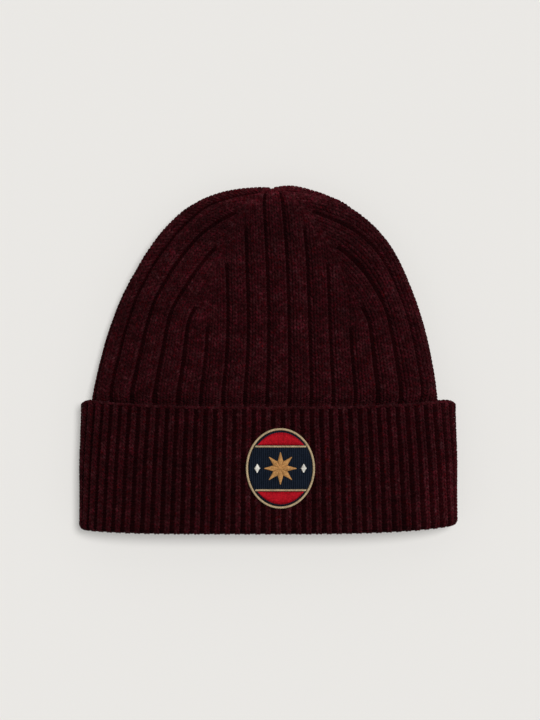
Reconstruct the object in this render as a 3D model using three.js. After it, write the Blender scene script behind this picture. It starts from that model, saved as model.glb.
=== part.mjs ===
import * as THREE from 'three';

// A rib-knit beanie with a turned-up cuff and an oval badge, lying on its back on a table.
// Millimetres. X runs across the hat, Y from the folded edge of the cuff to the crown top and
// Z up from the table; the front of the hat faces up. Lengths along Y start at the folded edge.

const WALL = 3.6;              // one layer of the rib knit
const JOIN_GAP = 0.5;          // left between two pieces that meet

// Crown outline: (x / halfWidth)^across + ((y - start) / (top - start))^along = 1
const CROWN = { halfWidth: 103.7, start: 40, top: 201.2, across: 2.67, along: 1.85,
                fold: 12.5, crest: 30, floor: 0 };
const CAVITY = { halfWidth: 100.05, start: 40, top: 195.6, across: 2.67, along: 1.85,
                 fold: 12.8, crest: 26.2, floor: 4 };
const CROWN_BASE = 81.2;       // where the crown comes out of the cuff
const CROWN_HEM = 70.4;        // lower end of the crown, behind the cuff
const UNDERSIDE_FLAT = 0.35;   // part of the outline function that lies flat on the table
const LEAN_AT_BASE = -1.6;     // sideways shift of the crown where it meets the cuff
const LEAN_PER_LENGTH = 0.033;
const HEM_RAISE = 4.6;         // the back of the crown climbs over the back of the cuff
const HEM_TUCK = 0.03;         // share of its width that the crown loses inside the cuff
const TOP_HUMP = { height: 1.1, x: 12, spread: 9, from: 188, to: 200 };

// Crown ribs: four gores of eight ribs, narrowed by the darts between them
const GORES = 4;
const RIBS_PER_GORE = 8;
const TURN = 7.5;              // the hat is turned this far round its own axis
const TURN_FADE = 1.9;         // power of the rise by which that turn is lost
const GORE_NARROWING = [
  { rise: 0.00, halfRibs: 4.00, ribWidth: 12.85 },
  { rise: 0.16, halfRibs: 4.00, ribWidth: 12.20 },
  { rise: 0.35, halfRibs: 4.00, ribWidth: 11.80 },
  { rise: 0.65, halfRibs: 3.00, ribWidth: 11.75 },
  { rise: 0.86, halfRibs: 1.88, ribWidth: 11.30 },
  { rise: 0.95, halfRibs: 1.00, ribWidth: 10.80 },
  { rise: 0.985, halfRibs: 0.65, ribWidth: 8.50 },
  { rise: 1.00, halfRibs: 0.50, ribWidth: 0.00 },
];
const CROWN_GROOVE = { depth: 1.7, bottom: 0.06, shoulder: 0.17 };  // widths in ribs
const GROOVE_STOP = 0.49;      // a groove ends this many ribs from the dart
const GROOVE_FADE = 0.07;      // over this much of the rise
const APEX_DIMPLE = 1.6;
const CROWN_RISES = [0, 0.12, 0.24, 0.35, 0.45, 0.55, 0.65, 0.74, 0.82, 0.88, 0.93, 0.965, 0.988];
const HEM_ROWS = [CROWN_HEM, 76];
const CAVITY_RISES = [0.05, 0.2, 0.4, 0.58, 0.72, 0.84, 0.92, 0.97];
const CAVITY_COLUMNS = [-0.875, -0.625, -0.375, -0.125, 0.125, 0.375, 0.625, 0.875];

// Cuff: a band turned up on itself, two layers round a folded lower edge
const CUFF = { halfWidth: 110.5, across: 2.67, fold: 14, crest: 34, floor: 0 };
const CUFF_NARROWER_AT_TOP = 1.1;
const CUFF_RIBS = 84;
const CUFF_GROOVE = { depth: 1.4, halfWidth: 0.24 };   // half width in ribs
const CUFF_ROWS = [11, 18, 30, 46, 58, 66];
const LAYER_GAP = 0.5;
const CUFF_TOP = { middle: 74.6, ends: 77.7 };
const CUFF_BOTTOM_RISE = { height: 3, from: -8, reach: 108, power: 2.5 };
const INNER_LAYER_TOP = CROWN_HEM - JOIN_GAP;

// Badge
const BADGE = { x: 7.2, y: 38.2, halfWidth: 20, halfHeight: 23.3 };
const BADGE_DENT = 0.9;        // the badge presses the ribs of the cuff down
const BADGE_UNDERSIDE = CUFF.crest - BADGE_DENT + 0.5;
const GROUND_THICKNESS = 0.9;
const BORDER = { width: 1.4, height: 1.7 };
const STITCHING_THICKNESS = 0.5;
const PIECE_GAP = 0.3;
const BELT_HALF_HEIGHT = 12.6;
const BELT_LINE_WIDTH = 1;
const STAR = { points: 8, reach: 9.6, waist: 4.4, height: 0.9 };
const DIAMOND = { x: 13.4, halfWidth: 1.7, halfHeight: 2.6 };
const OVAL_STEPS = 48;

const lerp = (a, b, t) => a + (b - a) * t;
const clamp = (value, low = 0, high = 1) => Math.min(high, Math.max(low, value));
const smooth = (from, to, value) => {
  const t = clamp((value - from) / (to - from));
  return t * t * (3 - 2 * t);
};

// Reads one column of a table at a value of another, in which its rows go upwards
function interpolate(table, from, value, column) {
  if (value <= table[0][from]) return table[0][column];
  for (let i = 1; i < table.length; i++) {
    if (value <= table[i][from]) {
      const t = (value - table[i - 1][from]) / (table[i][from] - table[i - 1][from]);
      return lerp(table[i - 1][column], table[i][column], t);
    }
  }
  return table[table.length - 1][column];
}

const halfRibsAt = (rise) => interpolate(GORE_NARROWING, 'rise', rise, 'halfRibs');
const ribWidthAt = (rise) => interpolate(GORE_NARROWING, 'rise', rise, 'ribWidth');

// A point at a fraction of the length of an open line of points
function alongLine(line, fraction) {
  const lengths = [0];
  for (let i = 1; i < line.length; i++) lengths.push(lengths[i - 1] + line[i].distanceTo(line[i - 1]));
  const target = clamp(fraction) * lengths[lengths.length - 1];
  let i = 1;
  while (i < line.length - 1 && lengths[i] < target) i++;
  const t = (target - lengths[i - 1]) / (lengths[i] - lengths[i - 1] || 1);
  return line[i - 1].clone().lerp(line[i], t);
}

// ---- Crown -------------------------------------------------------------------------------

// Value of the outline function: 0 in the middle of the hat, 1 on its outline
function outlineValue(shape, x, y) {
  const across = Math.abs(x / shape.halfWidth) ** shape.across;
  if (shape.top === undefined) return across;
  return across + clamp((y - shape.start) / (shape.top - shape.start)) ** shape.along;
}

function upperHeight(shape, value) {
  return shape.fold + (shape.crest - shape.fold) * Math.sqrt(1 - clamp(value) ** 2);
}

function lowerHeight(shape, value) {
  const past = clamp((value - UNDERSIDE_FLAT) / (1 - UNDERSIDE_FLAT));
  return shape.fold - (shape.fold - shape.floor) * Math.sqrt(1 - past * past);
}

// Outward direction of the smooth surface at a point on it
function outward(shape, point) {
  const { x, y, z } = point;
  const step = 0.05;
  const value = (px, py) => outlineValue(shape, px, py);
  const slopeX = (value(x + step, y) - value(x - step, y)) / (2 * step);
  const slopeY = (value(x, y + step) - value(x, y - step)) / (2 * step);
  const here = clamp(value(x, y));
  if (z >= shape.fold) {
    const bulge = 2 * here;
    const rise = shape.crest - shape.fold;
    return new THREE.Vector3(bulge * slopeX, bulge * slopeY, 2 * (z - shape.fold) / (rise * rise)).normalize();
  }
  const past = clamp((here - UNDERSIDE_FLAT) / (1 - UNDERSIDE_FLAT));
  const bulge = 2 * past / (1 - UNDERSIDE_FLAT);
  const drop = shape.fold - shape.floor;
  return new THREE.Vector3(bulge * slopeX, bulge * slopeY, -2 * (shape.fold - z) / (drop * drop)).normalize();
}

function sideLine(shape) {
  const startAngle = Math.asin(((CROWN_BASE - shape.start) / (shape.top - shape.start)) ** (shape.along / 2));
  const line = [];
  for (let i = 0; i <= 80; i++) {
    const angle = lerp(startAngle, Math.PI / 2, i / 80);
    const x = shape.halfWidth * Math.cos(angle) ** (2 / shape.across);
    const y = shape.start + (shape.top - shape.start) * Math.sin(angle) ** (2 / shape.along);
    line.push(new THREE.Vector2(x, y));
  }
  return line;
}

for (const shape of [CROWN, CAVITY]) shape.side = sideLine(shape);

// Where a course of the knit crosses the side fold; rise is 0 at the crown base, 1 at the top
function foldPoint(shape, rise) {
  if (rise >= 0) return alongLine(shape.side, rise);
  const y = CROWN_BASE + rise * (shape.top - CROWN_BASE);
  const t = (y - shape.start) / (shape.top - shape.start);
  return new THREE.Vector2(shape.halfWidth * (1 - t ** shape.along) ** (1 / shape.across), y);
}

// From the middle of the front to a dart
function dartHalfWidth(shape, rise) {
  return halfRibsAt(rise) * ribWidthAt(rise) * shape.halfWidth / CROWN.halfWidth;
}

// Rise at which a groove this many ribs from the middle of its gore runs into the dart
function grooveEnd(groove) {
  return interpolate([...GORE_NARROWING].reverse(), 'halfRibs', Math.abs(groove) + GROOVE_STOP, 'rise');
}

// Half of a side gore's course: from a dart out to the fold, on the upper or the lower side
function halfCourse(shape, dart, fold, isUpper) {
  const steps = 24;
  const line = [];
  for (let i = 0; i <= steps; i++) {
    const t = 1 - (1 - i / steps) ** 2;
    const x = lerp(dart.x, fold.x, t);
    const y = lerp(dart.y, fold.y, t);
    const value = i === steps ? 1 : outlineValue(shape, x, y);
    line.push(new THREE.Vector3(x, y, isUpper ? upperHeight(shape, value) : lowerHeight(shape, value)));
  }
  return line;
}

// One course of the crown as four lines, one for each gore: front, left, back, right
function courseLines(shape, rise) {
  const y = CROWN_BASE + rise * (shape.top - CROWN_BASE);
  const half = dartHalfWidth(shape, rise);
  const shift = TURN * (1 - clamp(rise) ** TURN_FADE);
  const fold = foldPoint(shape, rise);
  const leftFold = new THREE.Vector2(-fold.x, fold.y);
  const darts = {
    frontRight: new THREE.Vector2(shift + half, y), frontLeft: new THREE.Vector2(shift - half, y),
    backRight: new THREE.Vector2(-shift + half, y), backLeft: new THREE.Vector2(-shift - half, y),
  };
  const span = (from, to, height) => {
    const line = [];
    for (let i = 0; i <= 24; i++) {
      const x = lerp(from.x, to.x, i / 24);
      line.push(new THREE.Vector3(x, y, height(shape, outlineValue(shape, x, y))));
    }
    return line;
  };
  const left = halfCourse(shape, darts.frontLeft, leftFold, true);
  const leftBack = halfCourse(shape, darts.backLeft, leftFold, false).reverse().slice(1);
  const right = halfCourse(shape, darts.backRight, fold, false);
  const rightFront = halfCourse(shape, darts.frontRight, fold, true).reverse().slice(1);
  return [
    span(darts.frontRight, darts.frontLeft, upperHeight),
    [...left, ...leftBack],
    span(darts.backLeft, darts.backRight, lowerHeight),
    [...right, ...rightFront],
  ];
}

// The hat leans, its back climbs over the cuff, and one side of the top stands a little higher
function settle(point) {
  const { x, y, z } = point;
  const nearTop = smooth(TOP_HUMP.from, TOP_HUMP.to, y);
  const raise = HEM_RAISE * (1 - smooth(80, 98, y));
  point.x *= 1 - HEM_TUCK * (1 - smooth(72, 80, y));
  point.x += LEAN_AT_BASE + LEAN_PER_LENGTH * (y - CROWN_BASE);
  point.y += TOP_HUMP.height * nearTop * Math.exp(-(((x - TOP_HUMP.x) / TOP_HUMP.spread) ** 2));
  point.z += raise * (1 - z / CROWN.crest);
  return point;
}

// Positions of the vertices across one gore, in ribs from its middle
function ribColumns(halfRibs) {
  const columns = [];
  for (let rib = -RIBS_PER_GORE / 2; rib < RIBS_PER_GORE / 2; rib++) {
    const groove = rib + 0.5;
    for (const offset of [-CROWN_GROOVE.shoulder, -CROWN_GROOVE.bottom, CROWN_GROOVE.bottom,
                          CROWN_GROOVE.shoulder]) {
      const column = groove + offset;
      if (Math.abs(column) < halfRibs - 0.12) {
        columns.push({ column, groove, inGroove: Math.abs(offset) === CROWN_GROOVE.bottom });
      }
    }
  }
  return columns;
}

function crownRing(rise) {
  const halfRibs = halfRibsAt(rise);
  const ring = [];
  courseLines(CROWN, rise).forEach((line, gore) => {
    const middle = gore * RIBS_PER_GORE;
    const start = line[0].clone();
    ring.push({ key: middle - RIBS_PER_GORE / 2, point: settle(start) });
    for (const { column, groove, inGroove } of ribColumns(halfRibs)) {
      const point = alongLine(line, 0.5 + column / (2 * halfRibs));
      if (inGroove) {
        const end = grooveEnd(groove);
        const open = 1 - smooth(end - GROOVE_FADE, end, rise);
        const shallow = 1 - 0.45 * smooth(0.9, 1, rise);
        point.addScaledVector(outward(CROWN, point), -CROWN_GROOVE.depth * open * shallow);
      }
      ring.push({ key: middle + column, point: settle(point) });
    }
  });
  return ring;
}

function cavityRing(rise) {
  const ring = [];
  courseLines(CAVITY, rise).forEach((line, gore) => {
    for (const column of CAVITY_COLUMNS) {
      const point = settle(alongLine(line, 0.5 + column / 2));
      ring.push({ key: gore * RIBS_PER_GORE + column * RIBS_PER_GORE / 2, point });
    }
  });
  return ring;
}

const riseAt = (y, shape) => (y - CROWN_BASE) / (shape.top - CROWN_BASE);

function levelled(ring, y) {
  return ring.map(({ key, point }) => ({ key, point: new THREE.Vector3(point.x, y, point.z) }));
}

// ---- Solids from rings -------------------------------------------------------------------

// Joins closed rings of keyed points in order; each end is closed by a pole, or the last ring
// is joined to the first. Rings may differ in number of points: keys say which lie together.
function loft(rings, { firstPole, lastPole } = {}) {
  const positions = [];
  const indices = [];
  const add = (point) => positions.push(point.x, point.y, point.z) / 3 - 1;
  const numbered = rings.map((ring) => ring.map(({ key, point }) => ({ key, index: add(point) })));
  const join = (lower, upper) => {
    let i = 0;
    let j = 0;
    const period = GORES * RIBS_PER_GORE;
    const keyOf = (ring, n) => ring[n % ring.length].key + (n >= ring.length ? period : 0);
    while (i < lower.length || j < upper.length) {
      const a = lower[i % lower.length].index;
      const b = upper[j % upper.length].index;
      const lowerNext = i < lower.length ? keyOf(lower, i + 1) : Infinity;
      const upperNext = j < upper.length ? keyOf(upper, j + 1) : Infinity;
      if (lowerNext <= upperNext) {
        indices.push(a, b, lower[(i + 1) % lower.length].index);
        i++;
      } else {
        indices.push(a, b, upper[(j + 1) % upper.length].index);
        j++;
      }
    }
  };
  for (let n = 1; n < numbered.length; n++) join(numbered[n - 1], numbered[n]);
  if (firstPole) {
    const pole = add(firstPole);
    const ring = numbered[0];
    ring.forEach(({ index }, n) => indices.push(pole, index, ring[(n + 1) % ring.length].index));
  }
  if (lastPole) {
    const pole = add(lastPole);
    const ring = numbered[numbered.length - 1];
    ring.forEach(({ index }, n) => indices.push(index, pole, ring[(n + 1) % ring.length].index));
  }
  if (!firstPole && !lastPole) join(numbered[numbered.length - 1], numbered[0]);
  const geometry = new THREE.BufferGeometry();
  geometry.setAttribute('position', new THREE.Float32BufferAttribute(positions, 3));
  geometry.setIndex(indices);
  geometry.computeVertexNormals();
  return geometry;
}

function crownGeometry() {
  const outside = [
    ...HEM_ROWS.map((y) => crownRing(riseAt(y, CROWN))),
    ...CROWN_RISES.map((rise) => crownRing(rise)),
  ];
  const hem = levelled(cavityRing(riseAt(CROWN_HEM, CAVITY)), CROWN_HEM);
  const inside = [hem, ...CAVITY_RISES.map((rise) => cavityRing(rise))].reverse();
  const top = settle(new THREE.Vector3(0, CROWN.top - APEX_DIMPLE, CROWN.fold));
  const cavityTop = settle(new THREE.Vector3(0, CAVITY.top, CAVITY.fold));
  return loft([...inside, ...outside], { firstPole: cavityTop, lastPole: top });
}

// ---- Cuff --------------------------------------------------------------------------------

// Section of the cuff at a height of the band, 0 at the folded edge and 1 at the free edge,
// as a closed line from the middle of the front over the left fold and round
function cuffSection(height) {
  const shape = { ...CUFF, halfWidth: CUFF.halfWidth - CUFF_NARROWER_AT_TOP * smooth(0.45, 1, height) };
  const quarter = (side, surface) => {
    const points = [];
    for (let i = 0; i < 40; i++) {
      const x = side * shape.halfWidth * (1 - (1 - i / 40) ** 2);
      points.push(new THREE.Vector3(x, 0, surface(shape, outlineValue(shape, x, 0))));
    }
    return points;
  };
  const foldAt = (side) => new THREE.Vector3(side * shape.halfWidth, 0, shape.fold);
  const line = [
    ...quarter(-1, upperHeight), foldAt(-1), ...quarter(-1, lowerHeight).reverse(),
    ...quarter(1, lowerHeight).slice(1), foldAt(1), ...quarter(1, upperHeight).reverse(),
  ];
  return { shape, line };
}

function edgeHeights(x) {
  const away = Math.abs(x - CUFF_BOTTOM_RISE.from) / CUFF_BOTTOM_RISE.reach;
  const bottom = CUFF_BOTTOM_RISE.height * away ** CUFF_BOTTOM_RISE.power;
  const top = lerp(CUFF_TOP.middle, CUFF_TOP.ends, (x / CUFF.halfWidth) ** 2);
  return { bottom, top };
}

function badgeDent(x, y) {
  const reach = Math.hypot((x - BADGE.x) / (BADGE.halfWidth + 1), (y - BADGE.y) / (BADGE.halfHeight + 1));
  return BADGE_DENT * (1 - smooth(1.02, 1.3, reach));
}

// A point of the cuff: depth is how far it lies under the outer face, grooved or not
function cuffPoint(section, fraction, depth, y, isGroove) {
  const point = alongLine(section.line, fraction);
  const direction = outward(section.shape, point);
  const { bottom, top } = edgeHeights(point.x);
  const reach = lerp(bottom, top, y / CUFF_TOP.middle);
  const isFront = point.z > CUFF.fold;
  const under = isFront ? badgeDent(point.x, reach) * clamp(1 - depth / WALL, 0, 1) : 0;
  const groove = isGroove ? CUFF_GROOVE.depth : 0;
  point.addScaledVector(direction, -(depth + under + groove));
  point.y = reach;
  return point;
}

const cuffKey = (fraction) => fraction * GORES * RIBS_PER_GORE;

function ribbedRing({ depth, y, grooves }) {
  const section = cuffSection(y / CUFF_TOP.middle);
  const ring = [];
  for (let rib = 0; rib < CUFF_RIBS; rib++) {
    for (const offset of [-CUFF_GROOVE.halfWidth, 0, CUFF_GROOVE.halfWidth]) {
      const fraction = (rib + 0.5 + offset) / CUFF_RIBS;
      const isGroove = grooves && offset === 0;
      ring.push({ key: cuffKey(fraction), point: cuffPoint(section, fraction, depth, y, isGroove) });
    }
  }
  return ring;
}

function plainRing({ depth, y }) {
  const section = cuffSection(y / CUFF_TOP.middle);
  const ring = [];
  for (let i = 0; i < CUFF_RIBS; i += 1.5) {
    const fraction = (i + 0.25) / CUFF_RIBS;
    ring.push({ key: cuffKey(fraction), point: cuffPoint(section, fraction, depth, y, false) });
  }
  return ring;
}

// The inner layer goes over into the hem of the crown: its rings lean towards the crown's
function towardsCrown(ring, shape, y) {
  const blend = smooth(0.1, 1, y / INNER_LAYER_TOP);
  const lines = courseLines(shape, riseAt(INNER_LAYER_TOP, shape));
  const front = lines[0];
  const loop = [...front.slice(12), ...lines[1].slice(1), ...lines[2].slice(1), ...lines[3].slice(1),
                ...front.slice(1, 13)];
  return ring.map(({ key, point }) => {
    const goal = settle(alongLine(loop, key / (GORES * RIBS_PER_GORE)));
    return { key, point: new THREE.Vector3(lerp(point.x, goal.x, blend), lerp(point.y, y, blend),
                                           lerp(point.z, goal.z, blend)) };
  });
}

function cuffGeometry() {
  const free = CUFF_TOP.middle;
  const innerFace = WALL + LAYER_GAP;
  const innermost = innerFace + WALL;
  const turn = innermost / 2;
  const outside = [
    { depth: turn, y: 0, grooves: true },
    { depth: 0.32 * turn, y: 0.32 * turn, grooves: true },
    { depth: 0, y: turn, grooves: true },
    ...CUFF_ROWS.map((y) => ({ depth: 0, y, grooves: true })),
    { depth: 0, y: free - 1.6, grooves: true },
    { depth: 0.5, y: free - 0.4, grooves: true },
  ].map(ribbedRing);
  const lip = plainRing({ depth: WALL / 2 + 0.7, y: free });
  const behind = [{ depth: WALL, y: free - 1 }, { depth: WALL, y: turn + 1 }].map(plainRing);
  const slit = plainRing({ depth: turn, y: turn + 0.4 });
  const innerRing = (depth, shape, y) => towardsCrown(plainRing({ depth, y }), shape, y);
  const inner = [
    innerRing(innerFace, CROWN, turn + 1),
    innerRing(innerFace, CROWN, 40),
    innerRing(innerFace, CROWN, INNER_LAYER_TOP),
    innerRing(innermost, CAVITY, INNER_LAYER_TOP),
    innerRing(innermost, CAVITY, 40),
    innerRing(innermost, CAVITY, 20),
    plainRing({ depth: innermost, y: turn }),
    plainRing({ depth: 1.68 * turn, y: 0.32 * turn }),
  ];
  return loft([...outside, lip, ...behind, slit, ...inner]);
}

// ---- Badge -------------------------------------------------------------------------------

const ovalPoint = (inset, angle) => new THREE.Vector2(
  (BADGE.halfWidth - inset) * Math.cos(angle), (BADGE.halfHeight - inset) * Math.sin(angle));

function ovalOutline(inset, fromAngle = 0, toAngle = 2 * Math.PI, steps = OVAL_STEPS) {
  const points = [];
  const isWhole = toAngle - fromAngle > 6.28;
  for (let i = 0; i < steps + (isWhole ? 0 : 1); i++) {
    points.push(ovalPoint(inset, lerp(fromAngle, toAngle, i / steps)));
  }
  return points;
}

function plate(points, base, thickness) {
  const shape = new THREE.Shape(points);
  const geometry = new THREE.ExtrudeGeometry(shape, { depth: thickness, bevelEnabled: false });
  geometry.translate(BADGE.x, BADGE.y, base);
  return geometry;
}

// The overcast border: a rounded bead along the oval
function borderGeometry() {
  const section = [[0, 0.25], [0.25, 0], [0.75, 0], [1, 0.25], [1, 0.7], [0.72, 1], [0.28, 1], [0, 0.7]];
  const positions = [];
  const indices = [];
  for (let i = 0; i < OVAL_STEPS; i++) {
    const angle = 2 * Math.PI * i / OVAL_STEPS;
    for (const [across, up] of section) {
      const point = ovalPoint(BORDER.width * (1 - across), angle);
      positions.push(BADGE.x + point.x, BADGE.y + point.y, BADGE_UNDERSIDE + up * BORDER.height);
    }
  }
  const count = section.length;
  for (let i = 0; i < OVAL_STEPS; i++) {
    for (let k = 0; k < count; k++) {
      const a = i * count + k;
      const b = i * count + (k + 1) % count;
      const c = ((i + 1) % OVAL_STEPS) * count + k;
      const d = ((i + 1) % OVAL_STEPS) * count + (k + 1) % count;
      indices.push(a, c, b, b, c, d);
    }
  }
  const geometry = new THREE.BufferGeometry();
  geometry.setAttribute('position', new THREE.Float32BufferAttribute(positions, 3));
  geometry.setIndex(indices);
  geometry.computeVertexNormals();
  return geometry;
}

// A cap of the oval beyond the belt: side is 1 for the upper cap and -1 for the lower one
function capOutline(side, inset, beltEdge) {
  const start = Math.asin(beltEdge / (BADGE.halfHeight - inset));
  const points = ovalOutline(inset, start, Math.PI - start, 20);
  return side > 0 ? points : points.map((p) => new THREE.Vector2(p.x, -p.y)).reverse();
}

function starOutline() {
  const points = [];
  for (let i = 0; i < 2 * STAR.points; i++) {
    const radius = i % 2 === 0 ? STAR.reach : STAR.waist;
    const angle = Math.PI * i / STAR.points + Math.PI / 2;
    points.push(new THREE.Vector2(radius * Math.cos(angle), radius * Math.sin(angle)));
  }
  return points;
}

// The star: ridges run out along its points and its middle stands highest
function starGeometry(base) {
  const outline = starOutline();
  const positions = [0, 0, base, 0, 0, base + STAR.height];
  const indices = [];
  outline.forEach((p, i) => {
    const height = i % 2 === 0 ? 0.45 * STAR.height : 0.35 * STAR.height;
    positions.push(p.x, p.y, base, p.x, p.y, base + height);
  });
  for (let i = 0; i < outline.length; i++) {
    const a = 2 + 2 * i;
    const b = 2 + 2 * ((i + 1) % outline.length);
    indices.push(0, b, a, 1, a + 1, b + 1, a, b, a + 1, b, b + 1, a + 1);
  }
  const geometry = new THREE.BufferGeometry();
  geometry.setAttribute('position', new THREE.Float32BufferAttribute(positions, 3));
  geometry.setIndex(indices);
  geometry.translate(BADGE.x, BADGE.y, 0);
  geometry.computeVertexNormals();
  return geometry;
}

function diamondOutline(side) {
  const { x, halfWidth, halfHeight } = DIAMOND;
  return [[halfWidth, 0], [0, halfHeight], [-halfWidth, 0], [0, -halfHeight]]
    .map(([dx, dy]) => new THREE.Vector2(side * x + dx, dy));
}

function beltLineOutline(side, inset) {
  const middle = side * BELT_HALF_HEIGHT;
  const reachAt = (y) => (BADGE.halfWidth - inset) * Math.sqrt(1 - (y / (BADGE.halfHeight - inset)) ** 2);
  const low = middle - BELT_LINE_WIDTH / 2;
  const high = middle + BELT_LINE_WIDTH / 2;
  return [[-reachAt(low), low], [reachAt(low), low], [reachAt(high), high], [-reachAt(high), high]]
    .map(([x, y]) => new THREE.Vector2(x, y));
}

// ---- Assembly ----------------------------------------------------------------------------

const COLOURS = { knit: 0x3b0f16, navy: 0x141b27, red: 0xa80c1c, beige: 0xb09c7c, gold: 0xb48450,
                  white: 0xdcdce4 };

function piece(name, geometry, color, roughness) {
  const material = new THREE.MeshStandardMaterial({ color, roughness, metalness: 0 });
  const mesh = new THREE.Mesh(geometry, material);
  mesh.name = name;
  return mesh;
}

function badgePieces() {
  const inside = BORDER.width + PIECE_GAP;
  const onGround = BADGE_UNDERSIDE + GROUND_THICKNESS + PIECE_GAP;
  const capEdge = BELT_HALF_HEIGHT + BELT_LINE_WIDTH / 2 + PIECE_GAP;
  const thread = STITCHING_THICKNESS;
  const pieces = [
    piece('badge_ground', plate(ovalOutline(inside), BADGE_UNDERSIDE, GROUND_THICKNESS), COLOURS.navy, 0.9),
    piece('badge_border', borderGeometry(), COLOURS.beige, 0.7),
    piece('badge_star', starGeometry(onGround), COLOURS.gold, 0.55),
  ];
  for (const [name, side] of [['upper', 1], ['lower', -1]]) {
    const cap = plate(capOutline(side, inside + 0.9, capEdge), onGround, thread);
    const line = plate(beltLineOutline(side, inside + 0.4), onGround, thread);
    pieces.push(piece(`badge_cap_${name}`, cap, COLOURS.red, 0.75));
    pieces.push(piece(`badge_line_${name}`, line, COLOURS.beige, 0.7));
  }
  for (const [name, side] of [['left', -1], ['right', 1]]) {
    const diamond = plate(diamondOutline(side), onGround, thread);
    pieces.push(piece(`badge_diamond_${name}`, diamond, COLOURS.white, 0.6));
  }
  return pieces;
}

const hat = new THREE.Group();
hat.name = 'beanie';
hat.add(
  piece('crown', crownGeometry(), COLOURS.knit, 0.95),
  piece('cuff', cuffGeometry(), COLOURS.knit, 0.95),
  ...badgePieces(),
);

// The origin is the middle of the underside of the whole hat
const box = new THREE.Box3().setFromObject(hat);
const middle = box.getCenter(new THREE.Vector3());
for (const mesh of hat.children) mesh.geometry.translate(-middle.x, -middle.y, -box.min.z);

export default hat;
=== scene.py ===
"""Looks of a rib-knit beanie that lies on its back: yarn-level knit and an embroidered badge.

Lengths are in millimetres until a mesh is made. X runs across the hat, Y from the folded edge
of the cuff to the crown top and Z up from the table, as in the solid model. A rise is a height
on the crown, 0 at its base and 1 at its top, and a gore is one of its four parts: front, left,
back and right. A Form holds named values. A pair called over says between which two values
something comes in or fades out.
"""

import math
from functools import partial
from types import SimpleNamespace as Form

import bpy
import numpy as np
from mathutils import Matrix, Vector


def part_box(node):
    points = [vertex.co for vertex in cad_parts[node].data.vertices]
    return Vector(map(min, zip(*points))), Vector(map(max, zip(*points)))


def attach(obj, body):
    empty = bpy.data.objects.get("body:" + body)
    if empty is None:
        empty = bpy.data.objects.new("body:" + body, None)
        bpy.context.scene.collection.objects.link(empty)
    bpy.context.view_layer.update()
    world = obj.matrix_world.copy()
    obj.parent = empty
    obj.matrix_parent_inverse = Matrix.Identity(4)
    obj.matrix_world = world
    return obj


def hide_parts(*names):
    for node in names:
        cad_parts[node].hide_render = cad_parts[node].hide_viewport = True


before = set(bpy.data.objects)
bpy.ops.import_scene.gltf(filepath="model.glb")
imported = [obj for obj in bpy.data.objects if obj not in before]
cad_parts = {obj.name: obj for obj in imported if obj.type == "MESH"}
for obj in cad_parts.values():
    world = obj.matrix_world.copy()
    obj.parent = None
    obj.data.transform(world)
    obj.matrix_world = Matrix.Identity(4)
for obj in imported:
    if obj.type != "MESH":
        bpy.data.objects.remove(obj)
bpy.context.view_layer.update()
FOLDED_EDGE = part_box("cuff")[0][1] * 1000.0  # Y of the cuff's folded edge in the frame, in mm

rng = np.random.default_rng(11)

# ---- Dimensions shared with the solid model ----

WALL = 3.6
CROWN = Form(half_width=103.7, start=40.0, top=201.2, across=2.67, along=1.85,
             fold=12.5, crest=30.0, floor=0.0)
CAVITY = Form(half_width=100.05, start=40.0, top=195.6, across=2.67, along=1.85,
              fold=12.8, crest=26.2, floor=4.0)
CROWN_BASE = 81.2
UNDERSIDE_FLAT = 0.35
LEAN = Form(at_base=-1.6, per_length=0.033)
HEM_RAISE = Form(height=4.6, over=(80.0, 98.0))
HEM_TUCK = Form(share=0.03, over=(70.0, 76.0))
TOP_HUMP = Form(height=1.1, x=12.0, spread=9.0, over=(188.0, 200.0))
SIDE_DRAW = {  # of a side gore's width
    1: Form(share=0.035, over=(0.62, 0.78)),
    3: Form(share=0.055, over=(0.34, 0.56)),
}
SIDE_DRAW_END = (0.88, 1.0)
TURN = Form(length=7.5, power=1.9)  # the gores are turned this far round the hat at its base
NARROWING = np.array([  # of a gore: rise, half its ribs, width of a rib
    (0.000, 4.00, 12.85),
    (0.160, 4.00, 12.20),
    (0.350, 4.00, 11.80),
    (0.650, 3.00, 11.75),
    (0.860, 1.88, 11.30),
    (0.950, 1.00, 10.80),
    (0.985, 0.65, 8.50),
    (1.000, 0.50, 0.00),
])
NARROWING_TURN = 31  # the rows' corners are rounded over this many 200ths of the rise
NARROWING_SHARP = (0.93, 0.98)  # and are sharp again above these rises
WIDEST = NARROWING[0, 1]  # half the ribs of a gore at its base
RIBS = range(-4, 5)  # of a gore, counted from its middle
GROOVES = np.arange(-3.5, 4.0)  # between them
GROOVE_STOP = (0.49, 0.28)  # a groove ends this many ribs from the dart: front or back, side
GROOVE_FADE = (0.06, 0.03)  # over this much of the rise

CUFF = Form(half_width=110.5, start=0.0, top=None, across=2.67, along=1.0,
            fold=14.0, crest=34.0, floor=0.0)
CUFF_NARROWER = Form(by=1.1, over=(0.45, 1.0))  # towards its free edge
CUFF_RIBS = 84
CUFF_FRONT_RIBS = np.arange(-21, 22)  # counted from the middle of the front
CUFF_BACK_RIBS = np.arange(22, 63)
LAYER_GAP = 0.5
CUFF_FREE = 74.6  # height of the free edge at its middle
CUFF_ENDS = Form(height=79.0, power=3)
CUFF_INNER_TOP = 69.9
CUFF_TO_HEM = (0.1, 1.0)  # shares of its height over which the inner layer takes the hem's shape
CORNER = Form(radius=6.5, drop=4.2, roundness=0.95)  # of the cuff's upper corners
RIGHT_BULGE = Form(by=0.45, over=(0.7, 1.0))
FOLD_TURN = WALL + LAYER_GAP / 2  # radius of the fold
FOLD = Form(length=CUFF_FREE + FOLD_TURN * (math.pi / 2 - 1.0), reach=4.5, swell=0.4, flatter=0.85)
BOTTOM_RISE = Form(height=2.6, middle=-14.0, reach=108.0, power=3.5)

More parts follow.
